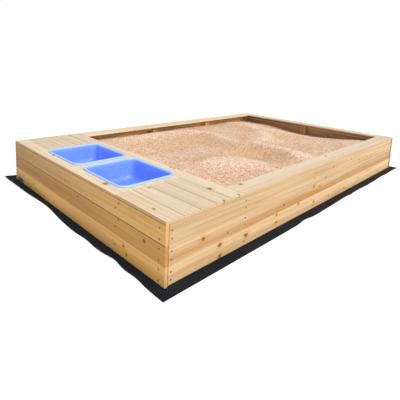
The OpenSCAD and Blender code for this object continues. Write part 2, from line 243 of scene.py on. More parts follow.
def plank_tree():
    """Geometry Nodes for one planed length of timber along X, with rounded arrises."""
    tree = bpy.data.node_groups.new("plank", "GeometryNodeTree")
    for name, kind in (("Length", "Float"), ("Width", "Float"), ("Thickness", "Float"),
                       ("Arris", "Float"), ("Divisions", "Int"), ("Timber", "Material")):
        tree.interface.new_socket(name, in_out="INPUT", socket_type="NodeSocket" + kind)
    tree.interface.new_socket("Plank", in_out="OUTPUT", socket_type="NodeSocketGeometry")
    given = add_node(tree, "NodeGroupInput").outputs
    section = add_node(tree, "GeometryNodeCurvePrimitiveQuadrilateral",
                       {"Width": given["Width"], "Height": given["Thickness"]})
    section = add_node(tree, "GeometryNodeFilletCurve",
                       {"Curve": section, "Count": 2, "Radius": given["Arris"]}, mode="POLY")
    end = add_node(tree, "ShaderNodeCombineXYZ", {"X": given["Length"]})
    line = add_node(tree, "GeometryNodeCurvePrimitiveLine", {"End": end})
    line = add_node(tree, "GeometryNodeResampleCurve",
                    {"Curve": line, "Count": given["Divisions"]})
    solid = add_node(tree, "GeometryNodeCurveToMesh",
                     {"Curve": line, "Profile Curve": section, "Fill Caps": True})
    solid = add_node(tree, "GeometryNodeRealizeInstances", {"Geometry": solid})
    solid = add_node(tree, "GeometryNodeSetMaterial",
                     {"Geometry": solid, "Material": given["Timber"]})
    add_node(tree, "NodeGroupOutput", {0: solid})
    return tree


PLANK = plank_tree()


def grow(tree, name, values):
    """The plain mesh that a Geometry Nodes tree makes from its named inputs."""
    holder = bpy.data.objects.new(name, bpy.data.meshes.new(name))
    bpy.context.scene.collection.objects.link(holder)
    modifier = holder.modifiers.new("nodes", "NODES")
    modifier.node_group = tree
    for item in tree.interface.items_tree:
        if item.in_out == "INPUT" and item.name in values:
            modifier[item.identifier] = values[item.name]
    ready = holder.evaluated_get(bpy.context.evaluated_depsgraph_get())
    mesh = bpy.data.meshes.new_from_object(ready)
    bpy.data.objects.remove(holder)
    return mesh


def give(mesh, name, kind, domain, values):
    """Writes one value for each point or face of a mesh."""
    field = "vector" if kind == "FLOAT_VECTOR" else "value"
    attribute = mesh.attributes.new(name, kind, domain)
    attribute.data.foreach_set(field, np.asarray(values, np.float32).ravel())


def seed_of(name):
    """A seed that belongs to one piece and stays the same on each run."""
    return zlib.crc32(name.encode())


def saw(name, blanks, timber, arris, knots=(), heartwood_and_shadow_band=(0, 1, 0), tone_and_painted_light=1.0,
        seam_shade=(0, 0), edge=(0, 0, 0), shaded_edge=(0, 0)):
    """One piece made of planks. Each blank is a low corner, a high corner and the three axes that
    its length, width and thickness lie on. Knots are (along, across, radius) from the plank's
    low corner. Heart is the middle, half width and strength of its darker heartwood band.
    Tone, which also carries painted light and shade, is one value, or one at each end. The seam
    values darken the arrises of the low and high edge with painted shade in the joints, edge yellows
    the low edge, the high edge and the ends, and the last argument paints shade over the whole of the
    low or high edge."""
    fields = {key: [] for key in ("grain", "board", "tone_and_painted_light", "knot_a", "knot_b", "shade_and_edge_tint")}
    parts, start = [], 0
    vertices, faces = [], []
    random = np.random.default_rng(seed_of(name))
    for low, high, axes in blanks:
        length, width, thick = (high[a] - low[a] for a in axes)
        cut = grow(PLANK, name, {
            "Length": length, "Width": width, "Thickness": thick, "Arris": arris,
            "Divisions": max(2, round(length / SEGMENT) + 1), "Timber": timber})
        local = np.zeros(len(cut.vertices) * 3)
        cut.vertices.foreach_get("co", local)
        local = local.reshape(-1, 3) + [0, width / 2, thick / 2]
        placed = np.zeros_like(local)
        for own, axis in enumerate(axes):
            placed[:, axis] = local[:, own] + low[axis]
        # The pith of its log runs along it, 20 to 70 mm behind its face.
        pith = [random.uniform(0, 40), random.uniform(-0.3, 1.3) * width,
                -random.uniform(0.02, 0.07)]
        turned = axes in (ALONG_WALL, LAID_ACROSS)
        for polygon in cut.polygons:
            ring = list(polygon.vertices)[::-1] if turned else list(polygon.vertices)
            faces.append([start + v for v in ring])
            middle = local[ring].mean(0)
            near = sorted(list(knots) + [NO_KNOT, NO_KNOT],
                          key=lambda k: math.hypot(k[0] - middle[0], k[1] - middle[1]) / k[2])
            fields["knot_a"].append(near[0])
            fields["knot_b"].append(near[1])
            flat = min(abs(middle[2]), abs(middle[2] - thick)) < TOUCHING
            at_end = min(middle[0], length - middle[0]) < TOUCHING
            upper = int(middle[1] > width / 2)
            upright = min(middle[1], width - middle[1]) < TOUCHING
            if at_end or flat:
                shade_and_edge_tint = (0, edge[2] if at_end else 0, 0)
            else:
                dark = shaded_edge[upper] if upright else max(shaded_edge[upper], seam_shade[upper])
                shade_and_edge_tint = (dark, edge[upper], 0)
            fields["shade_and_edge_tint"].append(shade_and_edge_tint)
        fields["grain"].append(local - [0, pith[1], pith[2]] + [pith[0], 0, 0])
        fields["board"].append(local)
        fields["tone_and_painted_light"].append(np.interp(local[:, 0], (0, length), np.broadcast_to(tone_and_painted_light, 2)))
        vertices.append(placed)
        start += len(local)
        parts = list(cut.materials)
        bpy.data.meshes.remove(cut)
    piece = add_piece(name, np.concatenate(vertices), faces, parts)
    mesh = piece.data
    give(mesh, "grain", "FLOAT_VECTOR", "POINT", np.concatenate(fields["grain"]))
    give(mesh, "board", "FLOAT_VECTOR", "POINT", np.concatenate(fields["board"]))
    give(mesh, "knot_a", "FLOAT_VECTOR", "FACE", fields["knot_a"])
    give(mesh, "knot_b", "FLOAT_VECTOR", "FACE", fields["knot_b"])
    give(mesh, "shade_and_edge_tint", "FLOAT_VECTOR", "FACE", fields["shade_and_edge_tint"])
    give(mesh, "heartwood_and_shadow_band", "FLOAT_VECTOR", "POINT", [heartwood_and_shadow_band] * len(mesh.vertices))
    give(mesh, "tone_and_painted_light", "FLOAT", "POINT", np.concatenate(fields["tone_and_painted_light"]))
    return piece


def pine(name, early, late, heartwood_and_shadow, knot="#5a3212", halo="#b98246", rough=0.55, rings=0.45,
         painted_shade="#4a2b10", edge="#ab7636"):
    """Softwood from its own grain attributes: growth rings about 5 mm apart that bend round the
    knots, long streaks, a slow change of tone and one dark band, heartwood on most planks and a
    painted shadow on the rails under the caps. Its tone attribute also carries painted light and
    shade, and its joints and some edges carry painted shade. Early and late are the colours of the
    two parts of a ring."""
    ring_width, wander, knot_push = 0.0052, 0.016, 0.006
    knot_stretch, knot_ragged, heart_wander = 0.8, 0.7, 0.05
    material, tree, shader = new_material(name)
    grain = add_node(tree, "ShaderNodeAttribute", attribute_name="grain").outputs["Vector"]
    board = add_node(tree, "ShaderNodeAttribute", attribute_name="board").outputs["Vector"]
    heartwood_and_shadow_band = add_node(tree, "ShaderNodeAttribute", attribute_name="heartwood_and_shadow_band").outputs["Vector"]
    tone_and_painted_light = add_node(tree, "ShaderNodeAttribute", attribute_name="tone_and_painted_light").outputs["Fac"]
    shade_and_edge_tint = add_node(tree, "ShaderNodeAttribute", attribute_name="shade_and_edge_tint").outputs["Vector"]
    shade_and_edge_tint = add_node(tree, "ShaderNodeSeparateXYZ", {0: shade_and_edge_tint})

    # How far each place is from the nearest knot, counted in that knot's own radius.
    reach = []
    for key in ("knot_a", "knot_b"):
        spot = add_node(tree, "ShaderNodeAttribute", attribute_name=key).outputs["Vector"]
        spot = add_node(tree, "ShaderNodeSeparateXYZ", {0: spot})
        here = add_node(tree, "ShaderNodeSeparateXYZ", {0: board})
        along = add_node(tree, "ShaderNodeMath", {0: here.outputs[0], 1: spot.outputs[0]},
                         operation="SUBTRACT")
        along = add_node(tree, "ShaderNodeMath", {0: along, 1: knot_stretch},
                         operation="MULTIPLY")
        across = add_node(tree, "ShaderNodeMath", {0: here.outputs[1], 1: spot.outputs[1]},
                          operation="SUBTRACT")
        away = add_node(tree, "ShaderNodeCombineXYZ", {0: along, 1: across})
        away = add_node(tree, "ShaderNodeVectorMath", {0: away}, operation="LENGTH")
        reach.append(add_node(tree, "ShaderNodeMath", {0: away.outputs["Value"],
                              1: spot.outputs[2]}, operation="DIVIDE"))
    reach = add_node(tree, "ShaderNodeMath", {0: reach[0], 1: reach[1]}, operation="MINIMUM")
    rough_edge = add_node(tree, "ShaderNodeTexNoise", {"Vector": board, "Scale": 160.0})
    rough_edge = add_node(tree, "ShaderNodeMath",
                          {0: rough_edge, 1: knot_ragged, 2: -knot_ragged / 2},
                          operation="MULTIPLY_ADD")
    reach = add_node(tree, "ShaderNodeMath", {0: reach, 1: rough_edge}, operation="ADD")

    # Noise drawn out along the grain: a slow change about 1.1 m by 110 mm, streaks 0.8 m by 17 mm,
    # and fibres 110 mm by 2.4 mm, which are coarser than real ones so that they show.
    stretched = {}
    for key, scale in (("slow", (0.9, 9.0, 9.0)), ("streak", (1.3, 60.0, 60.0)),
                       ("fibre", (9.0, 420.0, 420.0))):
        at = add_node(tree, "ShaderNodeVectorMath", {0: grain, 1: scale}, operation="MULTIPLY")
        stretched[key] = add_node(tree, "ShaderNodeTexNoise", {"Vector": at, "Scale": 1.0,
                                                               "Detail": 3.0}).outputs["Fac"]

    # Rings lie round the pith, bend a little along the plank and are pushed aside by a knot.
    axes = add_node(tree, "ShaderNodeSeparateXYZ", {0: grain})
    section = add_node(tree, "ShaderNodeCombineXYZ", {1: axes.outputs[1], 2: axes.outputs[2]})
    radius = add_node(tree, "ShaderNodeVectorMath", {0: section}, operation="LENGTH")
    radius = add_node(tree, "ShaderNodeMath", {0: stretched["slow"], 1: wander,
                      2: radius.outputs["Value"]}, operation="MULTIPLY_ADD")
    push = add_node(tree, "ShaderNodeMath", {0: reach, 1: 0.45}, operation="MULTIPLY")
    push = add_node(tree, "ShaderNodeMath", {0: push, 1: 2.0}, operation="POWER")
    push = add_node(tree, "ShaderNodeMath", {0: push, 1: 1.0}, operation="ADD")
    push = add_node(tree, "ShaderNodeMath", {0: knot_push, 1: push}, operation="DIVIDE")
    radius = add_node(tree, "ShaderNodeMath", {0: radius, 1: push}, operation="ADD")
    turn = add_node(tree, "ShaderNodeMath", {0: radius, 1: ring_width}, operation="DIVIDE")
    turn = add_node(tree, "ShaderNodeMath", {0: turn}, operation="FRACT")
    latewood = set_ramp(add_node(tree, "ShaderNodeValToRGB", {"Fac": turn}),
                        [(0.0, 0.15), (0.45, 0.1), (0.86, 1.0), (0.97, 0.2)])

    shade = add_node(tree, "ShaderNodeMath", {0: latewood, 1: rings}, operation="MULTIPLY")
    streak = set_ramp(add_node(tree, "ShaderNodeValToRGB", {"Fac": stretched["streak"]}),
                      [(0.38, 0.0), (0.66, 0.55)])
    shade = add_node(tree, "ShaderNodeMath", {0: shade, 1: streak}, operation="ADD")
    fibre = add_node(tree, "ShaderNodeMath", {0: stretched["fibre"], 1: 0.3, 2: -0.15},
                     operation="MULTIPLY_ADD")
    shade = add_node(tree, "ShaderNodeMath", {0: shade, 1: fibre}, operation="ADD",
                     use_clamp=True)
    colour = add_node(tree, "ShaderNodeMix", {"Factor": shade, "A": linear(early),
                                             "B": linear(late)}, data_type="RGBA")

    # The darker band of heartwood runs the length of the plank and comes and goes; on the rails
    # under the caps the same band is a painted shadow.
    band = add_node(tree, "ShaderNodeSeparateXYZ", {0: heartwood_and_shadow_band})
    here = add_node(tree, "ShaderNodeSeparateXYZ", {0: board})
    off = add_node(tree, "ShaderNodeMath",
                   {0: stretched["slow"], 1: heart_wander, 2: -heart_wander / 2},
                   operation="MULTIPLY_ADD")
    off = add_node(tree, "ShaderNodeMath", {0: here.outputs[1], 1: off}, operation="ADD")
    off = add_node(tree, "ShaderNodeMath", {0: off, 1: band.outputs[0]}, operation="SUBTRACT")
    off = add_node(tree, "ShaderNodeMath", {0: off}, operation="ABSOLUTE")
    off = add_node(tree, "ShaderNodeMath", {0: off, 1: band.outputs[1]}, operation="DIVIDE")
    inside = set_ramp(add_node(tree, "ShaderNodeValToRGB", {"Fac": off}), [(0.2, 1.0), (1.0, 0.0)])
    inside = add_node(tree, "ShaderNodeMath", {0: inside, 1: band.outputs[2]},
                      operation="MULTIPLY")
    patch = set_ramp(add_node(tree, "ShaderNodeValToRGB", {"Fac": stretched["slow"]}),
                     [(0.3, 0.45), (0.6, 1.0)])
    inside = add_node(tree, "ShaderNodeMath", {0: inside, 1: patch}, operation="MULTIPLY")
    colour = add_node(tree, "ShaderNodeMix", {"Factor": inside, "A": colour,
                                             "B": linear(heartwood_and_shadow)}, data_type="RGBA")

    # Each knot is a dark ring round a browner eye, with a stain that fades out at 2.7 radii.
    stained = add_node(tree, "ShaderNodeMath", {0: reach, 1: 3.0}, operation="DIVIDE")
    amount = set_ramp(add_node(tree, "ShaderNodeValToRGB", {"Fac": stained}),
                      [(0.0, 0.85), (0.26, 0.95), (0.36, 0.55), (0.9, 0.0)])
    eye = set_ramp(add_node(tree, "ShaderNodeValToRGB", {"Fac": stained}),
                   [(0.0, linear(knot)), (0.14, linear("#8a5526")), (0.3, linear(knot)),
                    (0.42, linear(halo))])
    colour = add_node(tree, "ShaderNodeMix", {"Factor": amount, "A": colour, "B": eye},
                      data_type="RGBA")

    # The plank's tone, which also carries painted light and shade, then the colour change of its
    # edges and the painted shade in its joints and along shaded edges.
    level = add_node(tree, "ShaderNodeMath", {0: stretched["slow"], 1: 0.16, 2: 0.92},
                     operation="MULTIPLY_ADD")
    level = add_node(tree, "ShaderNodeMath", {0: level, 1: tone_and_painted_light}, operation="MULTIPLY")
    level = add_node(tree, "ShaderNodeCombineColor", {0: level, 1: level, 2: level})
    colour = add_node(tree, "ShaderNodeMix", {"Factor": 1.0, "A": colour, "B": level},
                      data_type="RGBA", blend_type="MULTIPLY")
    for amount, tint in ((shade_and_edge_tint.outputs[1], edge), (shade_and_edge_tint.outputs[0], painted_shade)):
        colour = add_node(tree, "ShaderNodeMix", {"Factor": amount, "A": colour,
                                                 "B": linear(tint)}, data_type="RGBA")
    tree.links.new(colour.outputs[2], shader.inputs["Base Color"])

    relief = add_node(tree, "ShaderNodeMath", {0: stretched["fibre"], 1: latewood},
                      operation="ADD")
    relief = add_node(tree, "ShaderNodeBump", {"Height": relief, "Strength": 0.3,
                                              "Distance": 0.0005})
    tree.links.new(relief.outputs[0], shader.inputs["Normal"])
    sheen = add_node(tree, "ShaderNodeMath", {0: stretched["streak"], 1: 0.2, 2: rough - 0.1},
                     operation="MULTIPLY_ADD")
    tree.links.new(sheen.outputs[0], shader.inputs["Roughness"])
    shader.inputs["Specular IOR Level"].default_value = 0.3
    return material


# Sawn pine, left rough: duller and a little darker than the planed boards.
sawn_pine = pine("sawn_pine", "#d8b079", "#b98a52", "#b67a3c", rough=0.75, rings=0.55)

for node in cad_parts:
    if "post" in node:
        low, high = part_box(node)
        # The far end's post is painted darker: painted shade.
        post = saw("timber_" + node, [(low, high, UPRIGHT)], sawn_pine, POST_ARRIS,
                   tone_and_painted_light=0.78 if node == "far_end_post" else 1.0)
        stand_for(post, node, "pit")

# ---- Wall boards -------------------------------------------------------------------------------
# Planed 100 x 18 mm pine, three high, with eased edges that leave a fine V at each joint. The end
# boards run the full width and cover the ends of the long ones.
WALL_ARRIS = 0.0022
BOARD_HIGH = 100           # in millimetres, as the knots below are
NEAR_END_GAP = 0.003       # the near boards stop this much shorter at the bench end
END_CHANGE = {1: 0.7, 2: 0, 3: 0.7}     # how far the sawn ends of each level have changed
wall_pine = pine("planed_pine_wall", "#c9ae87", "#ad824c", "#ad7636")
# The bench end stands in the shade: its planed pine is a deeper, warmer copy, painted shade.
shaded_end_pine = pine("planed_pine_end_wall_shaded", "#cda562", "#b6853f", "#a66c1e", edge="#c39c68")

# Knots that show on the near wall and the bench end: millimetres along from the bench end, or
# from the near corner, then up from the foot of the wall, then the knot's radius.
near_knots = [(593, 56, 11), (244, 153, 9), (429, 122, 5), (370, 76, 11), (374, 12, 11), (896, 88, 7),
              (896, 39, 7), (976, 131, 8), (1160, 89, 8), (1379, 48, 7), (1363, 164, 7),
              (1454, 147, 7), (1546, 192, 6), (1665, 252, 6), (1988, 258, 5), (2675, 31, 6),
              (2187, 53, 6), (1893, 33, 6), (1612, 40, 6), (2435, 202, 5), (2418, 149, 6),
              (2403, 84, 6)]
bench_knots = [(156, 164, 10), (377, 280, 5), (376, 192, 5), (328, 67, 7), (300, 31, 7),
               (1532, 53, 6), (1329, 32, 5), (1169, 38, 6), (995, 233, 6), (935, 123, 6),
               (820, 181, 6), (645, 191, 5)]
# Two dark knots on the inner face of the back wall, just short of its posts: painted shadows of the
# posts.
back_post_shadows = [(1.296, 0.058, 0.017), (2.096, 0.060, 0.016)]
# For each visible board: the middle, half width and strength of its heartwood band, its tone at
# each end, which also carries painted light and shade, and how much painted shade lies in the
# joints along its lower and upper edges.
near_boards = {1: ((0.030, 0.05, 0.06), (1.14, 1.30), (0.3, 0.0)),
               2: ((0.022, 0.040, 0.85), (1.02, 0.94), (0.5, 0.1)),
               3: ((0.050, 0.06, 0.05), (0.90, 1.10), (0.2, 0.3))}
# The bench end boards grow darker towards the far end: painted shade.
bench_boards = {1: ((0.030, 0.06, 0.30), (1.16, 1.06), (0.3, 0.0)),
                2: ((0.045, 0.10, 0.90), (0.97, 0.78), (0.0, 0.8)),
                3: ((0.030, 0.05, 0.15), (1.06, 0.64), (0.8, 0.9))}
# The back wall is painted much lighter, painted light, and the far end darker, painted shade.
back_boards = {n: (heartwood_and_shadow_band, 1.7, seam_shade) for n, (heartwood_and_shadow_band, _, seam_shade) in near_boards.items()}
far_boards = {n: (heartwood_and_shadow_band, 0.85, seam_shade) for n, (heartwood_and_shadow_band, _, seam_shade) in near_boards.items()}
divider_boards = {n: (heartwood_and_shadow_band, 1.0, seam_shade) for n, (heartwood_and_shadow_band, _, seam_shade) in bench_boards.items()}
# Where the knots of each way of laying are measured from.
measured_from = {ALONG_WALL: frame_low.x, ALONG_END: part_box("bench_end_board_1")[0].y}


def scattered(name, length, width, count):
    """Knots anywhere on a board, from a seed of its own."""
    random = np.random.default_rng(seed_of(name) + 1)
    return [(random.uniform(0.05, length - 0.05), random.uniform(0.012, width - 0.012),
             random.uniform(0.004, 0.009)) for _ in range(count)]


def on_board(knots, level, start):
    """The knots, in metres, that lie on one level of a wall. Start is how far its boards begin
    from the place that the knots are measured from."""
    foot = BOARD_HIGH * (level - 1)
    return [(along / 1000 - start, (up - foot) / 1000, radius / 1000)
            for along, up, radius in knots if foot <= up < foot + BOARD_HIGH]


for side, axes, timber, knots, looks in (
        ("near_wall", ALONG_WALL, wall_pine, near_knots, near_boards),
        ("back_wall", ALONG_WALL, wall_pine, None, back_boards),
        ("bench_end", ALONG_END, shaded_end_pine, bench_knots, bench_boards),
        ("far_end", ALONG_END, wall_pine, None, far_boards),
        ("divider", ALONG_END, sawn_pine, None, divider_boards)):
    for level in (1, 2, 3):
        node = f"{side}_board_{level}"
        low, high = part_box(node)
        if side == "near_wall":
            low.x += NEAR_END_GAP
        if knots:
            eyes = on_board(knots, level, low[axes[0]] - measured_from[axes])
        else:
            eyes = scattered(node, high[axes[0]] - low[axes[0]], high.z - low.z, 6)
        if node == "back_wall_board_3":
            eyes += back_post_shadows
        heartwood_and_shadow_band, tone_and_painted_light, seam_shade = looks[level]
        board = saw("timber_" + node, [(low, high, axes)], timber, WALL_ARRIS, eyes, heartwood_and_shadow_band, tone_and_painted_light,
                    seam_shade, edge=(0, 0, END_CHANGE[level]))
        stand_for(board, node, "pit")

# ---- Bearers and battens -----------------------------------------------------------------------
# Sawn pine rails fixed inside the walls. They carry the deck boards, the tub panel and the joints
# of the cap rails, and are hidden from above. Their upper edge is painted dark, a painted shadow
# under the caps.
rail_pine_painted_shadow = pine("sawn_pine_painted_shadow", "#d8b079", "#b98a52", "#42230a", rough=0.75, rings=0.55)
PAINTED_SHADOW_BAND = (0.044, 0.032, 1.0)         # middle, half width and strength of the dark band


def loose_solids(node):
    """The points of each separate solid in a CAD node."""
    shape = bmesh.new()
    shape.from_mesh(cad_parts[node].data)
    bmesh.ops.remove_doubles(shape, verts=shape.verts, dist=1e-6)
    left, solids = set(shape.verts), []
    while left:
        found, queue = set(), [min(left, key=lambda v: v.index)]
        while queue:
            vertex = queue.pop()
            if vertex in found:
                continue
            found.add(vertex)
            queue += [edge.other_vert(vertex) for edge in vertex.link_edges]
        left -= found
        solids.append(np.array([vertex.co for vertex in found]))
    shape.free()
    return sorted(solids, key=lambda points: tuple(np.round(points.min(0), 5)))


for node in sorted(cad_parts):
    if node.startswith("bearer") or "batten" in node:
        boxes = [(points.min(0), points.max(0)) for points in loose_solids(node)]
        blanks = [(low, high, ALONG_WALL if high[0] - low[0] > high[1] - low[1] else ALONG_END)
                  for low, high in boxes]
        # Their dark band is a painted shadow along the upper edge.
        rail = saw("timber_" + node, blanks, rail_pine_painted_shadow, POST_ARRIS, heartwood_and_shadow_band=PAINTED_SHADOW_BAND)
        stand_for(rail, node, "pit")

# ---- Screws ------------------------------------------------------------------------------------
# Countersunk cross-head wood screws, yellow-plated and dulled. Each one has crushed the pine round
# its head into a narrow dark collar, partly crushed wood and partly painted shade in the countersink;
# the cross recess is painted shade.
HEAD_RADIUS, COLLAR_RADIUS, SHANK_RADIUS = 0.0040, 0.0052, 0.0021
SCREW_LENGTH, SCREW_SIDES = 0.048, 12
COLLAR_PROUD, HEAD_PROUD, RECESS_DEEP = 0.00025, 0.0007, 0.0014


def screw_blank():
    """One screw, its axis along Z and its head at the origin, facing up. Its cross recess has as
    many corners as the head has sides, so that they join ring to ring."""
    def ring(radius, height):
        turns = [math.radians((i - 0.5) * 360 / SCREW_SIDES) for i in range(SCREW_SIDES)]
        return [(radius * math.cos(a), radius * math.sin(a), height) for a in turns]

    arm, half = 0.0026, 0.0008
    cross = [(arm, -half), (arm, half), (half, half), (half, arm), (-half, arm), (-half, half),
             (-arm, half), (-arm, -half), (-half, -half), (-half, -arm), (half, -arm),
             (half, -half)]
    rings = [ring(SHANK_RADIUS * 0.5, -SCREW_LENGTH), ring(SHANK_RADIUS, -SCREW_LENGTH * 0.9),
             ring(SHANK_RADIUS, -0.004), ring(COLLAR_RADIUS, COLLAR_PROUD),
             ring(HEAD_RADIUS, COLLAR_PROUD), ring(HEAD_RADIUS * 0.85, HEAD_PROUD),
             [(x, y, HEAD_PROUD) for x, y in cross],
             [(x * 0.8, y * 0.8, HEAD_PROUD - RECESS_DEEP) for x, y in cross]]
    faces = [list(range(SCREW_SIDES))[::-1]]
    for level in range(len(rings) - 1):
        for i in range(SCREW_SIDES):
            j = (i + 1) % SCREW_SIDES
            a, b = level * SCREW_SIDES, (level + 1) * SCREW_SIDES
            faces.append([a + i, a + j, b + j, b + i])
    faces.append([(len(rings) - 1) * SCREW_SIDES + i for i in range(SCREW_SIDES)])
    blank = add_piece("screw_blank", sum(rings, []), faces, [])
    # The two faces of the collar and the sides and foot of the recess are painted dark: crushed wood
    # and painted shade at the collar, painted shade in the recess.
    crushed_and_shaded = [0.0] * len(faces)
    for level in (2, 3, 6):
        for i in range(SCREW_SIDES):
            crushed_and_shaded[1 + level * SCREW_SIDES + i] = 1.0
    crushed_and_shaded[-1] = 1.0
    give(blank.data, "crushed_and_shaded", "FLOAT", "FACE", crushed_and_shaded)
    return blank


def screw_tree():
    """Geometry Nodes that stand a screw on every point, along the point's own direction."""
    tree = bpy.data.node_groups.new("screws", "GeometryNodeTree")
    for name, kind in (("Places", "Object"), ("Screw", "Object"), ("Steel", "Material")):
        tree.interface.new_socket(name, in_out="INPUT", socket_type="NodeSocket" + kind)
    tree.interface.new_socket("Screws", in_out="OUTPUT", socket_type="NodeSocketGeometry")
    given = add_node(tree, "NodeGroupInput").outputs
    places = add_node(tree, "GeometryNodeObjectInfo", {"Object": given["Places"]})
    screw = add_node(tree, "GeometryNodeObjectInfo", {"Object": given["Screw"],
                                                      "As Instance": True})
    out = add_node(tree, "GeometryNodeInputNamedAttribute", {"Name": "outwards"},
                   data_type="FLOAT_VECTOR")
    stand = add_node(tree, "FunctionNodeAlignRotationToVector",
                     {"Vector": out.outputs["Attribute"]}, axis="Z")
    spin = add_node(tree, "FunctionNodeRandomValue", {"Max": math.tau, "Seed": 5},
                    data_type="FLOAT")
    spin = add_node(tree, "ShaderNodeCombineXYZ", {"Z": spin.outputs[1]})
    spin = add_node(tree, "FunctionNodeEulerToRotation", {0: spin})
    stand = add_node(tree, "FunctionNodeRotateRotation", {0: stand, 1: spin},
                     rotation_space="LOCAL")
    driven = add_node(tree, "GeometryNodeInstanceOnPoints",
                      {"Points": places.outputs["Geometry"],
                       "Instance": screw.outputs["Geometry"], "Rotation": stand})
    driven = add_node(tree, "GeometryNodeRealizeInstances", {"Geometry": driven})
    driven = add_node(tree, "GeometryNodeSetMaterial",
                      {"Geometry": driven, "Material": given["Steel"]})
    add_node(tree, "NodeGroupOutput", {0: driven})
    return tree


# Zinc-plated steel with a yellow passivate that has gone brown; the collar is bruised pine with
# painted shade, and the recess painted shade.
plated_steel, tree, shader = new_material("yellow_zinc_plated_steel")
place = add_node(tree, "ShaderNodeTexCoord").outputs["Object"]
dulling = add_node(tree, "ShaderNodeTexNoise", {"Vector": place, "Scale": 900.0, "Detail": 3.0})
bright = add_node(tree, "ShaderNodeMix", {"Factor": dulling, "A": linear("#6b4a1e"),
                                         "B": linear("#a37a3a")}, data_type="RGBA")
crushed_and_shaded = add_node(tree, "ShaderNodeAttribute", attribute_name="crushed_and_shaded").outputs["Fac"]
bright = add_node(tree, "ShaderNodeMix", {"Factor": crushed_and_shaded, "A": bright,
                                         "B": linear("#4a2a0e")}, data_type="RGBA")
metal = add_node(tree, "ShaderNodeMath", {0: 0.7, 1: crushed_and_shaded}, operation="SUBTRACT",
                 use_clamp=True)
tree.links.new(bright.outputs[2], shader.inputs["Base Color"])
tree.links.new(metal.outputs[0], shader.inputs["Metallic"])
shader.inputs["Roughness"].default_value = 0.5

SCREWS = screw_tree()
screw = screw_blank()
for node in ("long_wall_screws", "end_wall_screws", "frame_screws", "top_screws"):
    heads, outwards = [], []
    for points in loose_solids(node):
        low, high = points.min(0), points.max(0)
        axis = int(np.argmax(high - low))
        across = (axis + 1) % 3
        spread = [np.ptp(points[abs(points[:, axis] - end) < TOUCHING][:, across])
                  for end in (low[axis], high[axis])]
        way = np.zeros(3)
        way[axis] = 1.0 if spread[1] > spread[0] else -1.0
        heads.append((low + high) / 2 + way * (high - low) / 2)
        outwards.append(way)
    marks = add_piece("marks_" + node, heads, [], [])
    give(marks.data, "outwards", "FLOAT_VECTOR", "POINT", outwards)
    mesh = grow(SCREWS, node, {"Places": marks, "Screw": screw, "Steel": plated_steel})
    bpy.data.objects.remove(marks)
    driven = bpy.data.objects.new("steel_" + node, mesh)
    bpy.context.scene.collection.objects.link(driven)
    stand_for(driven, node, "pit")
bpy.data.objects.remove(screw)

# ---- Deck boards -------------------------------------------------------------------------------
# Ten short planed boards, five at each side of the tub panel, laid side by side across the
# bearers with a narrow gap, their outer ends flush with the cap rails.
DECK_ARRIS = 0.0014
DECK_BOARDS = 5            # on each side
top_pine = pine("planed_pine_top", "#dccdb6", "#c4a87f", "#c39f72", "#7a5834", "#b99a70",
                rings=0.35)
deck_knots = {"near": {1: [(0.146, 0.045, 0.006)], 2: [(0.384, 0.088, 0.006)],
                       4: [(0.004, 0.058, 0.006)],
                       5: [(0.163, 0.014, 0.011), (0.006, 0.073, 0.006)]},
              "back": {2: [(0.08, 0.06, 0.006)], 4: [(0.22, 0.03, 0.005)]}}
for side in ("near", "back"):
    for count in range(1, DECK_BOARDS + 1):
        node = f"deck_board_{side}_{count}"
        low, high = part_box(node)
        random = np.random.default_rng(seed_of(node) + 2)
        heartwood_and_shadow_band = (random.uniform(0, 0.1), 0.05, random.uniform(0, 0.35))
        # Their arrises carry painted shade in the gaps between them.
        board = saw("timber_" + node, [(low, high, LAID_ACROSS)], top_pine, DECK_ARRIS,
                    deck_knots[side].get(count, []), heartwood_and_shadow_band, random.uniform(0.97, 1.03),
                    seam_shade=(0.35, 0.35), edge=(0.75, 0.75, 0.45))
        stand_for(board, node, "pit")

# ---- Tub panel ---------------------------------------------------------------------------------
# One edge-glued pine panel between the two sets of deck boards, with a rounded cut-out for each
# tub. Its staves run the same way as the boards.
CUT_RADIUS, PANEL_ARRIS = 0.048, 0.0018
CUT_CLEARANCE = 0.012      # the cut-out is this much smaller than the tub's rim, each side
STAVE, STAVES = 0.108, 5
PANEL_LENGTHS = 11         # the panel is divided this often along its staves
PANEL_PITH = (3.3, -0.2, 0.09)
CORNER_STEPS = 8


def rounded(width, length, radius):
    """Points round a rounded rectangle centred on the origin, anticlockwise from its right."""
    points = []
    for quarter, (sx, sy) in enumerate(((1, -1), (1, 1), (-1, 1), (-1, -1))):
        centre = (sx * (width / 2 - radius), sy * (length / 2 - radius))
        for step in range(CORNER_STEPS + 1):
            turn = math.radians(90 * (quarter - 1) + 90 * step / CORNER_STEPS)
            points.append((centre[0] + radius * math.cos(turn),
                           centre[1] + radius * math.sin(turn)))
    return points


def closed_spline(curve, points):
    """Adds a closed outline to a flat curve."""
    spline = curve.splines.new("POLY")
    spline.points.add(len(points) - 1)
    for point, (x, y) in zip(spline.points, points):
        point.co = (x, y, 0, 1)
    spline.use_cyclic_u = True


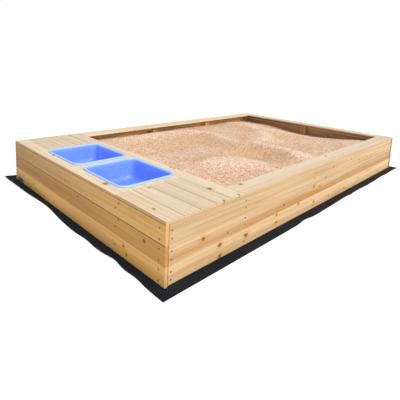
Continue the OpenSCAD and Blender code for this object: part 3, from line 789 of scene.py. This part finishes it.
low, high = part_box("tub_panel")
outline = bpy.data.curves.new("panel_outline", "CURVE")
outline.dimensions, outline.fill_mode = "2D", "BOTH"
outline.extrude = (high.z - low.z) / 2 - PANEL_ARRIS
outline.bevel_depth, outline.bevel_resolution = PANEL_ARRIS, 1
outline.offset = -PANEL_ARRIS
closed_spline(outline, [(low.x, low.y), (high.x, low.y), (high.x, high.y), (low.x, high.y)])
for tub in ("near_tub", "back_tub"):
    rim_low, rim_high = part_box(tub)
    middle = (rim_low + rim_high) / 2
    opening = rounded(rim_high.x - rim_low.x - 2 * CUT_CLEARANCE,
                      rim_high.y - rim_low.y - 2 * CUT_CLEARANCE, CUT_RADIUS)
    closed_spline(outline, [(middle.x + x, middle.y + y) for x, y in reversed(opening)])
holder = bpy.data.objects.new("panel_outline", outline)
bpy.context.scene.collection.objects.link(holder)
ready = holder.evaluated_get(bpy.context.evaluated_depsgraph_get())
mesh = bpy.data.meshes.new_from_object(ready)
bpy.data.objects.remove(holder)
shape = bmesh.new()
shape.from_mesh(mesh)
for vertex in shape.verts:
    vertex.co.z += (low.z + high.z) / 2
bmesh.ops.remove_doubles(shape, verts=shape.verts, dist=1e-5)
cuts = [(Vector((0, low.y + count * (high.y - low.y) / PANEL_LENGTHS, 0)), (0, 1, 0))
        for count in range(1, PANEL_LENGTHS)]
cuts += [(Vector((low.x + count * STAVE, 0, 0)), (1, 0, 0)) for count in range(1, STAVES)]
for cut, facing in cuts:
    bmesh.ops.bisect_plane(shape, geom=shape.verts[:] + shape.edges[:] + shape.faces[:],
                           plane_co=cut, plane_no=facing)
bmesh.ops.recalc_face_normals(shape, faces=shape.faces[:])
shape.to_mesh(mesh)
shape.free()
mesh.materials.clear()
mesh.materials.append(top_pine)
mesh.name = "timber_tub_panel"
panel = bpy.data.objects.new("timber_tub_panel", mesh)
bpy.context.scene.collection.objects.link(panel)

panel_knots = [(0.174, 0.046, 0.013), (0.902, 0.065, 0.009), (0.184, 0.528, 0.006),
               (0.152, 0.532, 0.006)]
points = np.array([vertex.co for vertex in mesh.vertices])
laid = (points - np.array(low))[:, LAID_ACROSS]
give(mesh, "board", "FLOAT_VECTOR", "POINT", laid)
give(mesh, "grain", "FLOAT_VECTOR", "POINT", laid + PANEL_PITH)
give(mesh, "heartwood_and_shadow_band", "FLOAT_VECTOR", "POINT", [(0.3, 0.1, 0.1)] * len(points))
give(mesh, "tone_and_painted_light", "FLOAT", "POINT", [1.07] * len(points))
near_a, near_b, shade_and_edge_tint = [], [], []
for polygon in mesh.polygons:
    along, across = polygon.center.y - low.y, polygon.center.x - low.x
    near = sorted(panel_knots, key=lambda k: math.hypot(k[0] - along, k[1] - across))
    near_a.append(near[0])
    near_b.append(near[1])
    shade_and_edge_tint.append((0, 0 if abs(polygon.normal.z) > 0.9 else 0.8, 0))
give(mesh, "knot_a", "FLOAT_VECTOR", "FACE", near_a)
give(mesh, "knot_b", "FLOAT_VECTOR", "FACE", near_b)
give(mesh, "shade_and_edge_tint", "FLOAT_VECTOR", "FACE", shade_and_edge_tint)
stand_for(panel, "tub_panel", "pit")

# ---- Tubs --------------------------------------------------------------------------------------
# Two dished tubs, injection moulded in blue polypropylene with a rolled rim and drafted sides.
# They hang in the cut-outs by their rims, and lift straight out.
TUB_WALL, TUB_DRAFT, TUB_FILLET = 0.003, 0.024, 0.028
FILLET_STEPS = 6
RIM_WIDE, RIM_HIGH, RIM_RADIUS, BODY_RADIUS = 0.015, 0.010, 0.063, 0.048


def tub_rings(width, length, top, bottom):
    """Width, length, corner radius, height and share of painted rim highlight of each ring, from the
    skirt's lower edge over the rim, down the inside, across the floor and back up the outside."""
    body = (width - 2 * RIM_WIDE, length - 2 * RIM_WIDE)
    deep = top - bottom

    def side(grown, down, radius, rim=0.0):
        draft = TUB_DRAFT * down / deep
        return (body[0] + 2 * (grown - draft), body[1] + 2 * (grown - draft), radius,
                top - down, rim)

    # The rim's skirt, its rolled shoulder, and over into the bowl.
    rings = []
    for inset, down in ((0.0008, RIM_HIGH), (0, RIM_HIGH - 0.0012), (0, 0.006), (0.0012, 0.0028),
                        (0.004, 0.0007), (0.0075, 0)):
        rings.append((width - 2 * inset, length - 2 * inset, RIM_RADIUS - inset, top - down, 1.0))
    for inset, down in ((0.0115, 0.0006), (0.0148, 0.0026)):
        rings.append((width - 2 * inset, length - 2 * inset, BODY_RADIUS + 0.002, top - down, 1.0))
    # Down the inside wall, round the fillet and in over a floor that sags slightly to its middle.
    for down, rim in ((0.0065, 0.75), (0.012, 0.3), (0.03, 0.06), (0.05, 0.0), (0.07, 0.0)):
        rings.append(side(-TUB_WALL, down, BODY_RADIUS - 0.002, rim))
    floor = deep - TUB_WALL
    for step in range(FILLET_STEPS + 1):
        turn = math.radians(90 * step / FILLET_STEPS)
        inwards = TUB_FILLET * (1 - math.cos(turn))
        down = floor - TUB_FILLET * (1 - math.sin(turn))
        rings.append(side(-TUB_WALL - inwards, down, BODY_RADIUS - 0.004 - inwards * 0.4))
    for share in (0.7, 0.4, 0.1):
        rings.append((body[0] * share * 0.7, body[1] * share * 0.7, 0.02 * share,
                      top - floor - 0.0006 * (1 - share), 0.0))
    # Out under the floor, round the outer fillet, up the outside and back under the rim.
    for share in (0.1, 0.7):
        rings.append((body[0] * share * 0.7, body[1] * share * 0.7, 0.02 * share, bottom, 0.0))
    for step in range(FILLET_STEPS, -1, -1):
        turn = math.radians(90 * step / FILLET_STEPS)
        inwards = TUB_FILLET * (1 - math.cos(turn))
        rings.append(side(-inwards, deep - TUB_FILLET * (1 - math.sin(turn)),
                          BODY_RADIUS - 0.002 - inwards * 0.4))
    for down, rim in ((0.04, 0.0), (0.014, 0.3), (0.0106, 0.6)):
        rings.append(side(0, down, BODY_RADIUS, rim))
    for inset, down in ((0.011, RIM_HIGH - 0.002), (0.0024, RIM_HIGH - 0.002),
                        (0.0016, RIM_HIGH)):
        rings.append((width - 2 * inset, length - 2 * inset, RIM_RADIUS - inset, top - down, 1.0))
    return rings


# Gloss polypropylene: a clear royal blue, slightly milky. The rim and the top of the inside wall
# are painted much paler than the bowl, a painted highlight. Its skin has a 4 mm orange peel and faint
# scuffs.
gloss_blue, tree, shader = new_material("gloss_blue_polypropylene")
place = add_node(tree, "ShaderNodeTexCoord").outputs["Object"]
painted_rim_highlight = add_node(tree, "ShaderNodeAttribute", attribute_name="rim").outputs["Fac"]
flow = add_node(tree, "ShaderNodeTexNoise", {"Vector": place, "Scale": 9.0, "Detail": 3.0})
bowl = add_node(tree, "ShaderNodeMix", {"Factor": flow, "A": linear("#5d84f4"),
                                       "B": linear("#7396fb")}, data_type="RGBA")
skin = add_node(tree, "ShaderNodeMix", {"Factor": painted_rim_highlight, "A": bowl, "B": linear("#9dbfff")},
                data_type="RGBA")
peel = add_node(tree, "ShaderNodeTexNoise", {"Vector": place, "Scale": 240.0, "Detail": 1.0})
scuffs = add_node(tree, "ShaderNodeTexNoise", {"Vector": place, "Scale": 60.0, "Detail": 6.0})
gloss = add_node(tree, "ShaderNodeMath", {0: scuffs, 1: 0.18, 2: 0.2}, operation="MULTIPLY_ADD")
skin_relief = add_node(tree, "ShaderNodeBump", {"Height": peel, "Strength": 0.05,
                                               "Distance": 0.0004})
tree.links.new(skin.outputs[2], shader.inputs["Base Color"])
tree.links.new(gloss.outputs[0], shader.inputs["Roughness"])
tree.links.new(skin_relief.outputs[0], shader.inputs["Normal"])
shader.inputs["IOR"].default_value = 1.49

for node, body in (("near_tub", "tub_near"), ("back_tub", "tub_back")):
    low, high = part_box(node)
    middle = (low + high) / 2
    rings = tub_rings(high.x - low.x, high.y - low.y, high.z, low.z)
    vertices, faces, rim = [], [], []
    around = 4 * (CORNER_STEPS + 1)
    for width, length, radius, height, share in rings:
        for x, y in rounded(width, length, radius):
            vertices.append((middle.x + x, middle.y + y, height))
            rim.append(share)
    for level in range(len(rings)):
        after = (level + 1) % len(rings)
        for i in range(around):
            j = (i + 1) % around
            faces.append([level * around + j, level * around + i, after * around + i,
                          after * around + j])
    floor_level = next(i for i, ring in enumerate(rings) if ring[3] == low.z) - 1
    faces = [f for f in faces if f[0] // around != floor_level]
    faces.append([floor_level * around + i for i in range(around)])
    faces.append([(floor_level + 1) * around + i for i in reversed(range(around))])
    tub = add_piece("moulded_" + node, vertices, faces, [gloss_blue], smooth=True)
    # The rim share is a painted highlight: the rim and the top of the inside wall are painted paler.
    give(tub.data, "rim", "FLOAT", "POINT", rim)
    shape = bmesh.new()
    shape.from_mesh(tub.data)
    bmesh.ops.recalc_face_normals(shape, faces=shape.faces[:])
    shape.to_mesh(tub.data)
    shape.free()
    stand_for(tub, node, body)

# ---- Cap rails ---------------------------------------------------------------------------------
# Planed 125 x 15 mm rails laid flat on the walls round the three open sides, butted square at the
# far corners. They overhang the boards by a few millimetres.
cap_knots = {"near_cap": [(0.103, 0.101, 0.010), (1.15, 0.09, 0.008), (1.75, 0.05, 0.006)],
             "back_cap": [(0.7, 0.05, 0.007), (1.9, 0.08, 0.006)],
             "far_cap": [(0.5, 0.06, 0.007), (1.1, 0.03, 0.005)]}
# The inner edges of the near and far caps are painted dark: painted shade under their overhang.
for node, axes, tone_and_painted_light, edge, shaded_edge in (
        ("near_cap", LAID_ALONG, 1.03, (0.5, 0.1, 0.3), (0, 0.2)),
        ("back_cap", LAID_ALONG, 1.08, (0.0, 0.3, 0.3), (0, 0)),
        ("far_cap", LAID_ACROSS, 1.06, (0.1, 0.3, 0.3), (0.4, 0))):
    low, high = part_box(node)
    rail = saw("timber_" + node, [(low, high, axes)], top_pine, DECK_ARRIS, cap_knots[node],
               (0.05, 0.04, 0.12), tone_and_painted_light, edge=edge, shaded_edge=shaded_edge)
    stand_for(rail, node, "pit")

# ---- Sand --------------------------------------------------------------------------------------
# Washed play sand, pinkish tan with darker grains, heaped and smoothed by hand. Its surface is the
# long dunes of the CAD heap with small dimples and hand marks added.
SAND_STEP = 0.0085
SAND_LEVEL, SAND_FALL, FALL_OVER = 0.234, 0.014, 1.5    # it falls gently towards the far end
# Each mound or hollow: its place, how wide it is in X and in Y, and its height.
MOUNDS = [(-0.65, 0.64, 0.26, 0.17, 0.026), (-0.33, 0.63, 0.28, 0.18, 0.034),
          (0.02, 0.60, 0.26, 0.19, 0.036), (0.19, 0.38, 0.17, 0.24, 0.026),
          (0.12, 0.08, 0.15, 0.22, 0.024), (-0.40, 0.22, 0.34, 0.15, -0.016),
          (-0.52, -0.42, 0.32, 0.24, 0.036), (-0.02, -0.33, 0.15, 0.24, -0.030),
          (0.25, -0.25, 0.14, 0.18, 0.032), (0.28, -0.48, 0.14, 0.20, 0.036),
          (0.20, -0.74, 0.17, 0.17, 0.030), (0.50, -0.04, 0.22, 0.14, 0.024),
          (0.76, 0.15, 0.22, 0.14, 0.020), (1.04, 0.66, 0.17, 0.28, 0.028),
          (1.02, 0.22, 0.15, 0.26, 0.024), (1.42, 0.00, 0.20, 0.36, -0.038),
          (1.48, 0.48, 0.14, 0.20, 0.008), (1.27, -0.76, 0.32, 0.22, 0.034),
          (0.70, -0.46, 0.28, 0.24, -0.014), (0.38, 0.96, 0.30, 0.16, 0.012),
          (-0.93, 0.06, 0.16, 0.80, 0.020), (-0.43, 0.92, 0.13, 0.12, -0.030)]

# Crests left by the spade, drawn from the bench end outwards: height, reach towards and away from
# the near corner, the painted highlight on the crest and the painted light and shade on each side
# of it, and the line itself.
CRESTS = [
    (0.010, 0.22, 0.12, 0.34, -0.02, 0.16, [(-0.82, 0.72), (-0.59, 0.71), (-0.33, 0.69),
     (-0.17, 0.68), (-0.02, 0.62), (0.13, 0.55), (0.21, 0.45)]),
    (0.014, 0.16, 0.34, 0.06, -0.42, 0.02, [(0.17, 0.53), (0.24, 0.48), (0.20, 0.33),
     (0.16, 0.19), (0.12, 0.04), (0.12, -0.09), (0.12, -0.20)]),
    (0.016, 0.15, 0.14, 0.42, -0.42, 0.22, [(0.34, -0.02), (0.26, -0.12), (0.28, -0.20),
     (0.24, -0.31), (0.24, -0.40), (0.22, -0.51), (0.17, -0.60), (0.11, -0.68)]),
    (0.016, 0.20, 0.16, 0.30, 0.30, -0.40, [(-0.70, -0.36), (-0.56, -0.27), (-0.45, -0.24),
     (-0.32, -0.27), (-0.25, -0.36), (-0.22, -0.45), (-0.22, -0.55), (-0.27, -0.70)]),
    (0.012, 0.12, 0.16, 0.36, -0.10, 0.26, [(1.22, 0.86), (1.05, 0.52), (0.91, 0.32),
     (0.76, 0.15), (0.55, -0.01), (0.39, -0.11)]),
    (0.010, 0.10, 0.12, 0.30, -0.20, 0.10, [(0.95, 0.27), (1.03, 0.15), (1.16, 0.03),
     (1.18, -0.15), (1.16, -0.40)]),
    (0.005, 0.08, 0.10, 0.20, -0.08, 0.06, [(-0.83, 0.58), (-0.76, 0.43), (-0.66, 0.27),
     (-0.58, 0.11), (-0.56, -0.05)]),
    (0.006, 0.07, 0.09, 0.24, -0.15, 0.06, [(-0.84, 0.10), (-0.79, -0.01), (-0.75, -0.14),
     (-0.68, -0.23)])]


def crest(x, y, line):
    """The distance of each place from a smoothed line, signed by its side, and a share that falls
    from 1 to 0 at the line's ends."""
    fade = 0.16
    knots = np.linspace(0, 1, len(line))
    steps = np.linspace(0, 1, 60)
    path = np.stack([np.interp(steps, knots, [point[axis] for point in line]) for axis in (0, 1)], 1)
    for _ in range(3):
        path[1:-1] = (path[:-2] + path[1:-1] * 2 + path[2:]) / 4
    best, away, place = np.full(x.shape, 9.0), np.zeros(x.shape), np.zeros(x.shape)
    for step in range(len(path) - 1):
        start, run = path[step], path[step + 1] - path[step]
        share = ((x - start[0]) * run[0] + (y - start[1]) * run[1]) / (run @ run)
        share = np.clip(share, 0, 1)
        off_x, off_y = x - start[0] - share * run[0], y - start[1] - share * run[1]
        gap = np.hypot(off_x, off_y)
        nearer = gap < best
        best = np.where(nearer, gap, best)
        away = np.where(nearer, np.sign(run[0] * off_y - run[1] * off_x), away)
        place = np.where(nearer, (step + share) / (len(path) - 1), place)
    return best * away, np.clip(np.minimum(place, 1 - place) / fade, 0, 1)


low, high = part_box("sand_fill")
columns = round((high.x - low.x) / SAND_STEP) + 1
rows = round((high.y - low.y) / SAND_STEP) + 1
sand_x, sand_y = np.meshgrid(np.linspace(low.x, high.x, columns), np.linspace(low.y, high.y, rows))
sand_z = low.z + SAND_LEVEL - SAND_FALL * sand_x / FALL_OVER
for x, y, wide, long, height in MOUNDS:
    sand_z = sand_z + height * np.exp(-((sand_x - x) / wide) ** 2 - ((sand_y - y) / long) ** 2)
# Hand marks about 190 mm across, and dimples of 70 and 28 mm.
marks = (0.0035 * swell(sand_x + 0.4 * sand_y, sand_y, 0.19, 21)
         + 0.0011 * swell(sand_x, sand_y, 0.07, 22) + 0.0003 * swell(sand_x, sand_y, 0.028, 23))
sand_z = sand_z + marks
# Painted light and shade: slopes that rise away from the near corner are painted darker and those
# that fall away paler, the tops of humps paler and the hollows darker.
step_x, step_y = sand_x[0, 1] - sand_x[0, 0], sand_y[1, 0] - sand_y[0, 0]
fall_y, fall_x = np.gradient(sand_z - marks * 0.5, step_y, step_x)
bend = np.gradient(fall_x, step_x, axis=1) + np.gradient(fall_y, step_y, axis=0)
painted_sand_light = 0.5 - 1.9 * (fall_x + fall_y) / math.sqrt(2) - 0.16 * bend
for height, near_reach, far_reach, crest_highlight, near_side_light, far_side_light, line in CRESTS:
    gap, ends = crest(sand_x, sand_y, line)
    gap = gap + 0.012 * swell(sand_x, sand_y, 0.11, 31)
    reach = np.where(gap < 0, near_reach, far_reach)
    sand_z = sand_z + ends * height * np.exp(-np.hypot(gap, 0.008) / reach)
    # The crest's top is painted paler, a painted highlight, and its sides lighter and darker: painted
    # light and shade.
    side = np.where(gap < 0, near_side_light, far_side_light) * np.exp(-(gap / reach) ** 2)
    side = side * np.clip(abs(gap) / 0.03, 0, 1)
    painted_sand_light = painted_sand_light + ends * (crest_highlight * np.exp(-(gap / 0.035) ** 2) + side)
painted_sand_light = np.clip(painted_sand_light, 0, 1)
top = np.stack([sand_x, sand_y, sand_z], -1)
vertices, faces = block(top, low.z)

# Quartz sand, grains 0.5 to 1 mm, with painted light: paler on the crests and painted shade on the
# slopes. One grain in four is dark; they are drawn 8 mm across so that they show as a fine speckle,
# on patches about 140 mm wide and a 4 mm relief.
GRAIN = 0.008
sand_with_painted_light, tree, shader = new_material("washed_play_sand")
place = add_node(tree, "ShaderNodeTexCoord").outputs["Object"]
cells = add_node(tree, "ShaderNodeTexVoronoi", {"Vector": place, "Scale": 1 / GRAIN})
pick = add_node(tree, "ShaderNodeSeparateColor", {0: cells.outputs["Color"]})
dark = set_ramp(add_node(tree, "ShaderNodeValToRGB", {"Fac": pick.outputs[0]}),
                [(0.20, 0.62), (0.34, 0.10), (0.5, 0.0)])
fine = add_node(tree, "ShaderNodeTexNoise", {"Vector": place, "Scale": 120.0, "Detail": 1.0})
painted_light_and_patches = add_node(tree, "ShaderNodeAttribute", attribute_name="painted_sand_light").outputs["Fac"]
patches = add_node(tree, "ShaderNodeTexNoise", {"Vector": place, "Scale": 7.0, "Detail": 2.0})
patches = add_node(tree, "ShaderNodeMath", {0: patches, 1: 0.3, 2: -0.15}, operation="MULTIPLY_ADD")
patches = add_node(tree, "ShaderNodeMath", {0: fine, 1: 0.24, 2: patches}, operation="MULTIPLY_ADD")
painted_light_and_patches = add_node(tree, "ShaderNodeMath", {0: painted_light_and_patches, 1: 0.62, 2: patches},
                   operation="MULTIPLY_ADD")
soft = set_ramp(add_node(tree, "ShaderNodeValToRGB", {"Fac": painted_light_and_patches}),
                [(0.1, linear("#cfab8a")), (0.38, linear("#dab99c")), (0.6, linear("#e3c6ae")),
                 (0.95, linear("#ead4c3"))])
body_colour = add_node(tree, "ShaderNodeMix", {"Factor": dark, "A": soft, "B": linear("#8b5c3a")},
                       data_type="RGBA")
relief = add_node(tree, "ShaderNodeTexNoise", {"Vector": place, "Scale": 260.0, "Detail": 2.0})
relief = add_node(tree, "ShaderNodeBump", {"Height": relief, "Strength": 0.4, "Distance": 0.001})
tree.links.new(body_colour.outputs[2], shader.inputs["Base Color"])
tree.links.new(relief.outputs[0], shader.inputs["Normal"])
shader.inputs["Roughness"].default_value = 0.95
shader.inputs["Specular IOR Level"].default_value = 0.1

heap = add_piece("heap_of_sand", vertices, faces, [sand_with_painted_light], smooth=True)
skirt = np.zeros(len(vertices) - painted_sand_light.size)
give(heap.data, "painted_sand_light", "FLOAT", "POINT", np.concatenate([painted_sand_light.ravel(), skirt]))
stand_for(heap, "sand_fill", "pit")

# ---- Blank plate -------------------------------------------------------------------------------
# A small plain aluminium plate, held low on the bench end by two round-headed pins. It is stamped
# from brushed sheet, its edges are broken, and there is nothing on it.
PIN_RADIUS, PIN_INSET, PIN_PROUD, PIN_FLAT = 0.0022, 0.008, 0.0008, 0.35
PLATE_EDGE = 0.0003
FACE_ORDER = Vector((1.0, 3.1, 9.7))    # no two faces of the plate lie equally far this way
low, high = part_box("blank_plate")
shape = bmesh.new()
bmesh.ops.create_cube(shape, size=1)
for vertex in shape.verts:
    for axis in range(3):
        vertex.co[axis] = (low if vertex.co[axis] < 0 else high)[axis]
bmesh.ops.bevel(shape, geom=shape.edges[:], offset=PLATE_EDGE, segments=2, affect="EDGES")
for across in (low.y + PIN_INSET, high.y - PIN_INSET):
    pin = bmesh.ops.create_uvsphere(shape, u_segments=12, v_segments=6, radius=PIN_RADIUS)
    for vertex in pin["verts"]:
        vertex.co.x = low.x + max(vertex.co.x * PIN_FLAT, -PIN_PROUD)
        vertex.co.y += across
        vertex.co.z += (low.z + high.z) / 2
# The pins' faces are made in a chance order, so they are put in order of place to be the same
# on each run.
shape.faces.sort(key=lambda face: face.calc_center_median().dot(FACE_ORDER))
mesh = bpy.data.meshes.new("plate")
shape.to_mesh(mesh)
shape.free()

# Brushed aluminium: fine lines along the plate, about 0.4 mm apart and 25 mm long.
brushed, tree, shader = new_material("brushed_aluminium")
place = add_node(tree, "ShaderNodeTexCoord").outputs["Object"]
along = add_node(tree, "ShaderNodeVectorMath", {0: place, 1: (300.0, 40.0, 2500.0)},
                 operation="MULTIPLY")
lines = add_node(tree, "ShaderNodeTexNoise", {"Vector": along, "Scale": 1.0, "Detail": 2.0})
tint = add_node(tree, "ShaderNodeMix", {"Factor": lines, "A": linear("#8d8f8c"),
                                       "B": linear("#b4b6b2")}, data_type="RGBA")
tree.links.new(tint.outputs[2], shader.inputs["Base Color"])
shader.inputs["Metallic"].default_value = 1.0
shader.inputs["Roughness"].default_value = 0.4
mesh.materials.append(brushed)
plate = bpy.data.objects.new("plain_plate", mesh)
bpy.context.scene.collection.objects.link(plate)
stand_for(plate, "blank_plate", "pit")

# ---- Studio ------------------------------------------------------------------------------------
# A plain white floor under an even white surround, with one broad soft key from the near side and
# a weak fill on the bench end. The eye stands about a metre up, off the corner nearest to it.
GROUND = -0.0004
FLOOR_HALF = 60.0
corners = [(x * FLOOR_HALF, y * FLOOR_HALF, GROUND) for x, y in ((-1, -1), (1, -1), (1, 1), (-1, 1))]
floor = add_piece("floor", corners, [[0, 1, 2, 3]], [])
paper, tree, shader = new_material("white_paper_floor")
shader.inputs["Base Color"].default_value = linear("#a0a0a0")
shader.inputs["Emission Color"].default_value = (1, 1, 1, 1)
shader.inputs["Emission Strength"].default_value = 0.72
shader.inputs["Roughness"].default_value = 0.9
shader.inputs["Specular IOR Level"].default_value = 0.0
floor.data.materials.append(paper)

world = bpy.data.worlds.new("white_surround")
bpy.context.scene.world = world
world.use_nodes = True
tree = world.node_tree
tree.nodes.clear()
# It is seen as pure white, and lights the object at about half of that.
seen = add_node(tree, "ShaderNodeLightPath").outputs["Is Camera Ray"]
strength = add_node(tree, "ShaderNodeMapRange", {"Value": seen, "To Min": 0.56, "To Max": 1.0})
sky = add_node(tree, "ShaderNodeBackground", {"Strength": strength})
add_node(tree, "ShaderNodeOutputWorld", {"Surface": sky})
sky.inputs["Color"].default_value = (1, 1, 1, 1)

key = bpy.data.lights.new("key", "SUN")
key.energy = 2.9
key.angle = math.radians(40)
key_light = bpy.data.objects.new("key", key)
key_light.rotation_euler = (math.radians(45), 0, 0)
bpy.context.scene.collection.objects.link(key_light)

fill = bpy.data.lights.new("fill", "AREA")
fill.shape, fill.size, fill.size_y = "RECTANGLE", 1.6, 1.2
fill.energy = 14
fill_light = bpy.data.objects.new("fill", fill)
fill_light.location = (-3.4, -1.9, 1.7)
aim = Vector((-1.5, -0.8, 0.2)) - fill_light.location
fill_light.rotation_euler = aim.to_track_quat("-Z", "Y").to_euler()
bpy.context.scene.collection.objects.link(fill_light)

eye = bpy.data.cameras.new("camera")
eye.lens, eye.sensor_width = 32.09, 36.0
eye.shift_y = -0.22
eye.clip_end = 200
camera = bpy.data.objects.new("camera", eye)
camera.location = (-2.4492, -2.0699, 1.0181)
camera.rotation_euler = [math.radians(a) for a in (81.765, -2.353, -44.908)]
bpy.context.scene.collection.objects.link(camera)
bpy.context.scene.camera = camera
bpy.context.scene.view_settings.view_transform = "Standard"
